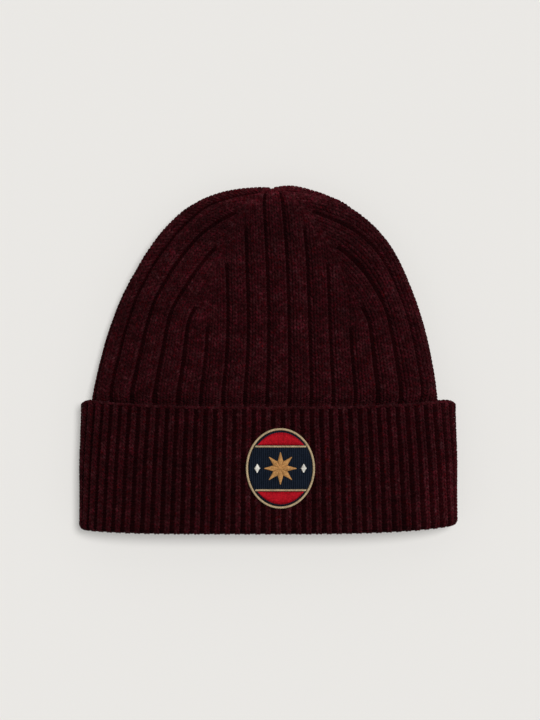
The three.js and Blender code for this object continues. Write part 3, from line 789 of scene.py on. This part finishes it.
def crown_backing(grids, cavity):
    """The inside of the yarn: a closed shell that the stitches stand on."""
    whole = np.arange(SHELL_COLUMNS) * 2.0 * WIDEST / SHELL_COLUMNS - WIDEST

    def ring(gores, rise, outside):
        row = []
        half = half_ribs(rise)
        squeezed = half - SHELL_SQUEEZE * (WIDEST - np.abs(whole))
        column = np.sign(whole) * np.minimum(np.abs(whole), squeezed)
        at_rise = np.full(SHELL_COLUMNS, rise)
        for grid in gores:
            if outside:
                row.append(crown_surface(grid, column, at_rise, BACKING)[0])
            else:
                point, direction = grid.at(0.5 + column / (2.0 * half), at_rise)
                clear = LINING_GAP.gap * smooth(*LINING_GAP.over, rise)
                waves = LINING_WAVE * np.cos(2.0 * math.pi * column)
                lift = waves - hem_dip(point, direction) - clear
                row.append(point + direction * lift[:, None])
        return np.concatenate(row)

    outside = [ring(grids, rise, True) for rise in SHELL_RISES]
    inside = [ring(cavity, rise, False) for rise in LINING_RISES]
    top = outside[-1].mean(axis=0) - np.array([0.0, SHELL_TOP_SINK, 0.0])
    return closed_rows(inside[::-1] + outside, (inside[-1].mean(axis=0), top))


def cuff_stitches(first, last, ribs):
    """Fraction and length of each stitch between two lengths along the band, for some ribs."""
    lengths = np.arange(first, last, CUFF_ROW)
    return np.repeat(ribs / CUFF_RIBS, len(lengths)), np.tile(lengths, len(ribs))


def cuff_knit(grid, first, last, ribs, sides):
    """Knit stitches of the cuff between two lengths along the band, for some of its ribs."""
    return leg_tubes(partial(cuff_surface, grid), *cuff_stitches(first, last, ribs),
                     CUFF_WALE / CUFF_RIBS, CUFF_ROW, CUFF_YARN, sides)


def cuff_purl(grid, first, last):
    """Purl stitches of the cuff between two lengths along the band."""
    return purl_tubes(partial(cuff_surface, grid), *cuff_stitches(first, last, np.arange(CUFF_RIBS) + 0.5),
                      CUFF_PURL_WIDTH / CUFF_RIBS, CUFF_ROW, CUFF_ROW)


def cuff_backing(grid):
    """A closed shell under the cuff's stitches, with the hidden faces between its two layers."""
    columns = CUFF_SHELL.columns
    fractions = np.arange(columns) / columns
    face = [cuff_surface(grid, fractions, np.full(columns, length), CUFF_SHELL.sink)[0]
            for length in np.linspace(EDGE_START, grid.rows[-1], CUFF_SHELL.rows)]
    loop = hem_loop(CROWN)
    hidden = [inner_row(fractions, WALL + LAYER_GAP, y, loop) for y in CUFF_HIDDEN_HEIGHTS]
    behind = [band_row(fractions, depth, y) for depth, y in CUFF_BEHIND]
    return closed_rows((face + hidden + behind)[::-1])


def cuff_edge(grid):
    """The bound edge along the top of the cuff: a chain of slanted loops over the lip."""
    count = CUFF_RIBS * 2
    fraction = (np.arange(count) + 0.5) / count
    points = []
    normals = []
    for across, length, depth in EDGE_LOOP:
        point, normal = grid.at(fraction + across / count, np.full(count, EDGE_START + length))
        points.append(point - normal * depth)
        normals.append(unit(normal + np.array([0.0, 1.0, 0.0])))
    return tubes(np.stack(points, axis=1), np.stack(normals, axis=1), *EDGE_YARN, FRONT_SIDES, LEG_TAPER)


# ---- Badge pieces ----

def oval_height(u, inset):
    """Half height of the badge's oval at a distance from its middle line."""
    share = np.clip(np.abs(u) / (BADGE.half_width - inset), 0.0, 1.0)
    return (BADGE.half_height - inset) * np.sqrt(1.0 - share ** 2)


def oval_line(inset, angle):
    """Places across and up the badge on its oval."""
    return (BADGE.half_width - inset) * np.cos(angle), (BADGE.half_height - inset) * np.sin(angle)


def on_badge(u, v, z):
    """Points of the hat from lengths across, up and out of the badge."""
    u, v, z = np.broadcast_arrays(u, v, z)
    return np.stack([BADGE.x + u, BADGE.y + v, z], axis=-1)


def upwards(points):
    return np.broadcast_to(np.array([0.0, 0.0, 1.0]), points.shape)


def laid_flat(made):
    """A mesh in the making, laid out as it is seen from above."""
    points, polygons, _ = made
    return points, polygons, points[:, :2]


def ground_weave():
    """Upright cords, each wrapped by the weft, on a thin plate."""
    count = CORD.count
    columns = (np.arange(count) - count // 2) * CORD.pitch
    v = oval_height(columns, GROUND_INSET)[:, None] * np.linspace(-1.0, 1.0, CORD.steps)
    u = columns[:, None] + CORD.sway * np.sin(2.0 * math.pi * v / CORD.sway_length)
    phase = 2.0 * math.pi * v / CORD.bump_length + math.pi * np.arange(count)[:, None]
    paths = on_badge(u, v, GROUND_TOP - CORD.half_height + CORD.bump * np.cos(phase))
    cords = tubes(paths, upwards(paths), CORD.half_width, CORD.half_height, FRONT_SIDES)
    angle = np.linspace(0.0, 2.0 * math.pi, GROUND_PLATE.corners, endpoint=False)
    u, v = oval_line(GROUND_INSET, angle)
    heights = (GROUND_TOP - GROUND_PLATE.sink, BADGE_UNDERSIDE)
    plate = closed_rows([on_badge(u, v, z) for z in heights], [on_badge(0.0, 0.0, z) for z in heights])
    return join([cords, laid_flat(plate)])


def border_wraps():
    """The edge of the badge: threads wound closely round an oval core."""
    half = BORDER.width / 2.0
    middle = BADGE_UNDERSIDE + BORDER.height / 2.0
    line = np.stack(oval_line(half, np.linspace(0.0, 2.0 * math.pi, BORDER.corners)), axis=-1)
    shares = np.arange(BORDER.wraps) / BORDER.wraps
    place = along_line(line, shares)
    ahead = unit(along_line(line, shares + BORDER.step) - place)
    out = np.stack([ahead[:, 1], -ahead[:, 0]], axis=-1)

    def around(turn, inset, slant):
        """A point of each wrap, at an angle round the core and inset from the border's surface."""
        flat = place + out * (half - inset) * math.cos(turn) + ahead * (slant * math.cos(turn))
        height = middle + (BORDER.height / 2.0 - inset) * math.sin(turn)
        return on_badge(flat[:, 0], flat[:, 1], height)

    paths = []
    normals = []
    for turn in np.linspace(*BORDER.turns, BORDER.wrap_points):
        paths.append(around(turn, THREAD, BORDER.slant))
        lean = out * math.cos(turn)
        normals.append(np.stack([lean[:, 0], lean[:, 1], np.full(len(lean), math.sin(turn))], axis=-1))
    thickness = rng.uniform(*BORDER.thread, BORDER.wraps)
    wraps = tubes(np.stack(paths, axis=1), np.stack(normals, axis=1), thickness, THREAD, THREAD_SIDES)
    turns = np.linspace(0.0, 2.0 * math.pi, BORDER.core_sides, endpoint=False)
    core = closed_rows([around(turn, BORDER.core_inset, 0.0) for turn in turns])
    return join([wraps, laid_flat(core)])


def satin(start, end, foot=STITCHING):
    """Threads side by side in a low arch. start, end: places of their ends across and up the badge."""
    start, end = [np.stack(np.broadcast_arrays(*place), axis=-1)[:, None, :] for place in (start, end)]
    t = np.linspace(0.0, 1.0, len(SATIN.taper))[None, :, None]
    flat = lerp(start, end, t) + rng.normal(0.0, SATIN.jitter, (len(start), 1, 2))
    arch = foot + SATIN.arch * (1.0 - (2.0 * t[..., 0] - 1.0) ** 4)
    paths = on_badge(flat[..., 0], flat[..., 1], arch)
    return tubes(paths, upwards(paths), THREAD, THREAD, THREAD_SIDES, SATIN.taper)


def thread_places(limit, pitch):
    """Places of threads side by side between -limit and limit."""
    return np.arange(SATIN.margin[0] - limit, limit - SATIN.margin[1], pitch)


def cap_satin(side):
    """A cap at the top or bottom of the badge, filled with upright threads."""
    inset_half = BADGE.half_width - CAP.inset
    limit = inset_half * math.sqrt(1.0 - (CAP.start / (BADGE.half_height - CAP.inset)) ** 2)
    u = thread_places(limit, CAP.pitch)
    outer = np.maximum(oval_height(u, CAP.inset), CAP.start + CAP.least)
    return satin((u, side * CAP.start), (u + CAP.slant, side * outer))


def line_satin(side):
    """A narrow line between a cap and the bare belt, stitched across its length."""
    u = np.arange(-LINE.reach, LINE.reach, LINE.pitch)
    middle = side * LINE.y
    half = LINE.width / 2.0
    return satin((u, middle - half), (u + LINE.slant, middle + half), STITCHING - LINE.sink)


def star_satin():
    """A star of eight rays; threads slant down from each ray's ridge to its two edges."""
    half_angle = math.pi / STAR.points
    waist_along = STAR.waist * math.cos(half_angle)
    waist_across = STAR.waist * math.sin(half_angle)
    radius = np.arange(STAR.margin, STAR.reach - STAR.margin, STAR.pitch)
    beyond = waist_across * (STAR.reach - radius) / (STAR.reach - waist_along)
    half = np.minimum(beyond, radius * math.tan(half_angle))
    out = radius[:, None] + (STAR.slant * half)[:, None] * (1.0 - STAR_STEPS) - STAR.back
    height = STITCHING + STAR.height * (1.0 - np.clip(STAR_STEPS, 0.0, 1.0) ** STAR.fall)
    parts = []
    for ray in range(STAR.points):
        angle = math.pi / 2.0 + 2.0 * half_angle * ray
        along = np.array([math.cos(angle), math.sin(angle)])
        across = np.array([-along[1], along[0]])
        for side in (-1.0, 1.0):
            sideways = side * half[:, None] * STAR_STEPS
            flat = out[..., None] * along + sideways[..., None] * across
            paths = on_badge(flat[..., 0], flat[..., 1], height[None, :])
            parts.append(tubes(paths, upwards(paths), THREAD, THREAD, THREAD_SIDES, STAR.taper))
    return join(parts)


def diamond_satin(side):
    """A small diamond beside the star."""
    v = thread_places(DIAMOND.half_height, DIAMOND.pitch)
    half = DIAMOND.half_width * (1.0 - np.abs(v) / DIAMOND.half_height)
    middle = side * DIAMOND.x
    return satin((middle - half, v), (middle + half, v + DIAMOND.slant))


# ---- Materials ----

WINE_TONES = [(0.36, (0.0082, 0.0005, 0.0009)), (0.46, (0.0188, 0.0017, 0.0024)),
              (0.54, (0.0296, 0.0034, 0.0047)), (0.64, (0.0600, 0.0086, 0.0118))]
# The purl rows in the grooves are the same yarn in much darker tones: painted shade.
GROOVE_SHADE_TONES = [(0.40, (0.0056, 0.0003, 0.0006)), (0.60, (0.0135, 0.0010, 0.0016))]
# The shell is the yarn's body in a little darker tones: partly painted shade in the gaps between the
# stitches.
BACKING_SHADE_TONES = [(0.40, (0.009, 0.0005, 0.0010)), (0.60, (0.030, 0.0032, 0.0045))]
FIBRE_TINT = Form(scale=400.0, detail=5.0, roughness=0.85, tones=[
    (0.40, (1.14, 0.30, 0.15)), (0.46, (1.00, 0.60, 1.22)),
    (0.53, (0.96, 1.22, 0.84)), (0.60, (0.97, 1.95, 1.88))])
ALONG_HAT_REACH = (-0.0250, 0.1005)  # of the tones and painted light along the hat, in metres from its middle
# The top rim is painted much lighter, as if lit from above (painted highlight); below it the shades make a
# darker band and a slightly darker cuff.
TONE_AND_PAINTED_LIGHT_ALONG_HAT = [(share, (tone, tone, tone)) for share, tone in (
    (0.00, 0.93), (0.45, 1.00), (0.62, 0.97), (0.68, 0.90),
    (0.76, 0.78), (0.84, 0.84), (0.92, 1.04), (1.00, 1.85))]
# Soft spots: the paler ones along the crown's outline and towards the cuff's right end are painted
# highlight, as if lit from the right and above; the dark one on the cuff's left is painted shade; the rest
# make the crown paler or darker in patches.
SPOTS_OF_TONE_AND_PAINTED_LIGHT = (  # middle across and along the hat and reach, in metres; tone
    (-0.038, 0.057, 0.019, 1.36),
    (-0.059, 0.077, 0.020, 1.45),
    (0.062, 0.071, 0.018, 1.40),
    (0.085, 0.037, 0.016, 1.35),
    (0.100, -0.026, 0.018, 1.40),
    (-0.077, 0.029, 0.026, 0.78),
    (0.050, 0.035, 0.036, 0.82),
    (-0.054, -0.070, 0.038, 0.76),
    (0.066, -0.044, 0.042, 1.12),
    (0.110, -0.080, 0.036, 1.90),
)
SPOT_HEIGHT = 0.025  # over the table
PATCH_DETAIL = 2.0
PATCH_SHARES = (0.66, 0.28)  # of the middle patches over the broad, and of the fine over both
ACROSS_COURSES = (0.85, 1.15, 1.0)  # the fibre's patches run along the courses of the knit
YARN_PATCHES = (110.0, 480.0, 2200.0)
BACKING_PATCHES = (110.0, 420.0, 2000.0)
THREAD_PATCHES = (300.0, 1200.0, 5000.0)
THREAD_TONES = (0.72, 1.22)  # of a thread's colour, darkest and lightest
THREAD_BUMP = 0.4
BUMP_HEIGHT = 0.0002
SHEEN_ROUGHNESS = 0.5
SPECULAR = 0.03


def connect(tree, node, inputs):
    """Gives each input of a node a value, or links it to another node's output."""
    for key, value in inputs.items():
        if isinstance(value, bpy.types.NodeSocket):
            tree.links.new(value, node.inputs[key])
        else:
            node.inputs[key].default_value = value


def add_node(tree, kind, inputs, **settings):
    """A node with its settings made first, since they decide which inputs it has."""
    node = tree.nodes.new(kind)
    for key, value in settings.items():
        setattr(node, key, value)
    connect(tree, node, inputs)
    return node.outputs


def noise(tree, place, scale, detail=PATCH_DETAIL, roughness=0.5):
    inputs = {"Vector": place, "Scale": scale, "Detail": detail, "Roughness": roughness}
    return add_node(tree, "ShaderNodeTexNoise", inputs)["Fac"]


def blend(tree, first, second, share):
    inputs = {"Factor": share, "A": first, "B": second}
    return add_node(tree, "ShaderNodeMix", inputs, data_type="FLOAT")["Result"]


def multiply(tree, first, second):
    inputs = {"Factor": 1.0, "A": first, "B": second}
    return add_node(tree, "ShaderNodeMix", inputs, data_type="RGBA", blend_type="MULTIPLY")["Result"]


def tone_ramp(tree, place, tones):
    """Colours along a ramp. tones: (position, linear colour)."""
    ramp = tree.nodes.new("ShaderNodeValToRGB")
    elements = ramp.color_ramp.elements
    while len(elements) < len(tones):
        elements.new(0.5)
    for element, (position, colour) in zip(elements, tones):
        element.position = position
        element.color = (*colour, 1.0)
    connect(tree, ramp, {"Fac": place})
    return ramp.outputs["Color"]


def along_hat(tree, place):
    """Height up the hat, 0 at the cuff's free edge and 1 at the top."""
    height = add_node(tree, "ShaderNodeSeparateXYZ", {"Vector": place})["Y"]
    inputs = {"Value": height, "From Min": ALONG_HAT_REACH[0], "From Max": ALONG_HAT_REACH[1]}
    return add_node(tree, "ShaderNodeMapRange", inputs)["Result"]


def spots_of_tone_and_painted_light(tree, place):
    """Painted light and shade of soft spots on the hat, paler or darker."""
    painted_light_and_tone = None
    for x, y, reach, tone in SPOTS_OF_TONE_AND_PAINTED_LIGHT:
        ends = {0: place, 1: (x, y, SPOT_HEIGHT)}
        away = add_node(tree, "ShaderNodeVectorMath", ends, operation="DISTANCE")["Value"]
        inputs = {"Value": away, "From Max": reach, "To Min": tone}
        spot = add_node(tree, "ShaderNodeMapRange", inputs, interpolation_type="SMOOTHSTEP")["Result"]
        painted_light_and_tone = spot if painted_light_and_tone is None else multiply(tree, painted_light_and_tone, spot)
    return painted_light_and_tone


def fibre_material(name, tones, stretch, patches, bump, roughness, sheen, sheen_tint, tint=None):
    """Yarn of mixed fibres, in tones over a noise of three sizes.

    tint: a noise and colours that tone it; such yarn also takes painted light and shade along the hat and
    in spots."""
    material = bpy.data.materials.new(name)
    material.use_nodes = True
    tree = material.node_tree
    place = tree.nodes.new("ShaderNodeTexCoord").outputs["Object"]
    stretched = add_node(tree, "ShaderNodeMapping", {"Vector": place, "Scale": stretch})["Vector"]
    broad, middle = [noise(tree, stretched, scale) for scale in patches[:2]]
    fine = noise(tree, place, patches[2])
    mixed = blend(tree, blend(tree, broad, middle, PATCH_SHARES[0]), fine, PATCH_SHARES[1])
    colour = tone_ramp(tree, mixed, tones)
    if tint is not None:
        mottle = noise(tree, place, tint.scale, tint.detail, tint.roughness)
        colour = multiply(tree, colour, tone_ramp(tree, mottle, tint.tones))
        # painted light and shade: along the hat and in spots
        painted_light_and_tone = tone_ramp(tree, along_hat(tree, place), TONE_AND_PAINTED_LIGHT_ALONG_HAT)
        colour = multiply(tree, colour, multiply(tree, painted_light_and_tone, spots_of_tone_and_painted_light(tree, place)))
    height = {"Height": fine, "Strength": bump, "Distance": BUMP_HEIGHT}
    connect(tree, tree.nodes["Principled BSDF"], {
        "Base Color": colour,
        "Normal": add_node(tree, "ShaderNodeBump", height)["Normal"],
        "Roughness": roughness,
        "Sheen Weight": sheen,
        "Sheen Roughness": SHEEN_ROUGHNESS,
        "Sheen Tint": (*sheen_tint, 1.0),
        "Specular IOR Level": SPECULAR,
    })
    return material


def thread_material(name, colour, roughness=0.5, sheen=0.15):
    """Embroidery thread of one colour, a little lighter and darker from strand to strand."""
    dark, light = [tuple(min(1.0, tone * c) for c in colour) for tone in THREAD_TONES]
    return fibre_material(name, [(0.40, dark), (0.60, light)], (1.0, 1.0, 1.0), THREAD_PATCHES,
                          THREAD_BUMP, roughness, sheen, colour)


yarn = fibre_material("heather_yarn", WINE_TONES, ACROSS_COURSES, YARN_PATCHES, 0.5, 0.9,
                      0.03, (0.9, 0.3, 0.35), FIBRE_TINT)
# a darker copy of the yarn: painted shade on the purl rows in the grooves
groove_yarn_painted_shade = fibre_material("groove_yarn_painted_shade", GROOVE_SHADE_TONES, ACROSS_COURSES, YARN_PATCHES, 0.5, 1.0,
                           0.0, (0.5, 0.2, 0.2), FIBRE_TINT)
# the shell's darker yarn tones are partly painted shade between the stitches
backing = fibre_material("yarn_backing_painted_shade", BACKING_SHADE_TONES, ACROSS_COURSES, BACKING_PATCHES, 0.6, 1.0,
                         0.0, (0.5, 0.2, 0.2), FIBRE_TINT)
navy_thread = thread_material("navy_thread", (0.0075, 0.0115, 0.0205), 0.65, 0.1)
beige_thread = thread_material("beige_thread", (0.42, 0.32, 0.19))
red_thread = thread_material("red_thread", (0.38, 0.006, 0.014))
gold_thread = thread_material("gold_thread", (0.46, 0.24, 0.085), 0.4)
white_thread = thread_material("white_thread", (0.72, 0.70, 0.64))


# ---- Assembly ----

def add(name, made, material, node):
    """A piece of the visual model that stands for a node of the solid model."""
    piece = make_object(name, made, material)
    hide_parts(node)


crown = crown_grids(CROWN)
for gore, name in enumerate(("front", "left", "back", "right")):
    made = crown_knit(crown, gore, BACK_SIDES if name == "back" else FRONT_SIDES)
    add(f"crown_{name}_knit", made, yarn, "crown")
add("crown_dart_wales", dart_knit(crown, FRONT_SIDES), yarn, "crown")
purl = join([crown_purl(crown, gore) for gore in range(4)])
add("crown_purl_rows", purl, groove_yarn_painted_shade, "crown")
add("crown_shell", crown_backing(crown, crown_grids(CAVITY)), backing, "crown")

band = cuff_grid()
for name, first, last, ribs, sides in (
        ("front", FIRST_ROW, OUTER_LENGTH, CUFF_FRONT_RIBS, FRONT_SIDES),
        ("back", FIRST_ROW, OUTER_LENGTH, CUFF_BACK_RIBS, BACK_SIDES),
        ("inner", OUTER_LENGTH, INNER_LENGTH, np.arange(CUFF_RIBS), BACK_SIDES)):
    add(f"cuff_{name}_knit", cuff_knit(band, first, last, ribs, sides), yarn, "cuff")
add("cuff_purl_rows", cuff_purl(band, FIRST_ROW, INNER_LENGTH), groove_yarn_painted_shade, "cuff")
add("cuff_shell", cuff_backing(band), backing, "cuff")
add("cuff_bound_edge", cuff_edge(band), yarn, "cuff")

add("badge_ground_weave", ground_weave(), navy_thread, "badge_ground")
add("badge_border_wraps", border_wraps(), beige_thread, "badge_border")
add("badge_star_satin", star_satin(), gold_thread, "badge_star")
for end, side in (("upper", 1.0), ("lower", -1.0)):
    add(f"badge_cap_satin_{end}", cap_satin(side), red_thread, f"badge_cap_{end}")
    add(f"badge_line_satin_{end}", line_satin(side), beige_thread, f"badge_line_{end}")
for end, side in (("left", -1.0), ("right", 1.0)):
    made = diamond_satin(side)
    add(f"badge_diamond_satin_{end}", made, white_thread, f"badge_diamond_{end}")


# ---- Floor, light and camera ----

scene = bpy.context.scene
scene.view_settings.view_transform = "Standard"

floor_material = bpy.data.materials.new("pale_floor")
floor_material.use_nodes = True
floor_tree = floor_material.node_tree
connect(floor_tree, floor_tree.nodes["Principled BSDF"], {
    "Base Color": (*FLOOR_COLOUR, 1.0),
    "Emission Color": (*FLOOR_GLOW, 1.0),
    "Emission Strength": 1.0,
    "Roughness": 1.0,
    "Specular IOR Level": 0.0,
})
floor_mesh = bpy.data.meshes.new("floor")
floor_corners = [(FLOOR_REACH * x, FLOOR_REACH * y, 0.0) for x, y in ((-1, -1), (1, -1), (1, 1), (-1, 1))]
floor_mesh.from_pydata(floor_corners, [], [(0, 1, 2, 3)])
floor_mesh.materials.append(floor_material)
floor = bpy.data.objects.new("floor", floor_mesh)
scene.collection.objects.link(floor)


def add_sun(name, direction, strength, angle, shadow=True):
    """A sun that shines from a direction; angle is its width in degrees."""
    light = bpy.data.lights.new(name, "SUN")
    light.energy = strength
    light.angle = math.radians(angle)
    light.use_shadow = shadow
    lamp = bpy.data.objects.new(name, light)
    x, y, z = direction
    lamp.rotation_euler = (math.atan2(math.hypot(x, y), z), 0.0, math.atan2(x, -y))
    scene.collection.objects.link(lamp)


add_sun("key", (0.34, 0.28, 1.6), 2.30, 18.0)
add_sun("side", (1.0, 0.15, 0.10), 0.85, 20.0, shadow=False)
add_sun("top", (0.0, 1.0, 0.15), 0.30, 20.0, shadow=False)
world = bpy.data.worlds.new("studio")
world.use_nodes = True
world_inputs = {"Color": (*WORLD_COLOUR, 1.0), "Strength": WORLD_STRENGTH}
connect(world.node_tree, world.node_tree.nodes["Background"], world_inputs)
scene.world = world

camera_data = bpy.data.cameras.new("camera")
camera_data.sensor_fit = "VERTICAL"
camera_data.angle = 2.0 * math.atan(VIEW_HEIGHT / 2.0 / (CAMERA_PLACE[2] - SCALE_HEIGHT))
camera = bpy.data.objects.new("camera", camera_data)
camera.location = CAMERA_PLACE
scene.collection.objects.link(camera)
scene.camera = camera
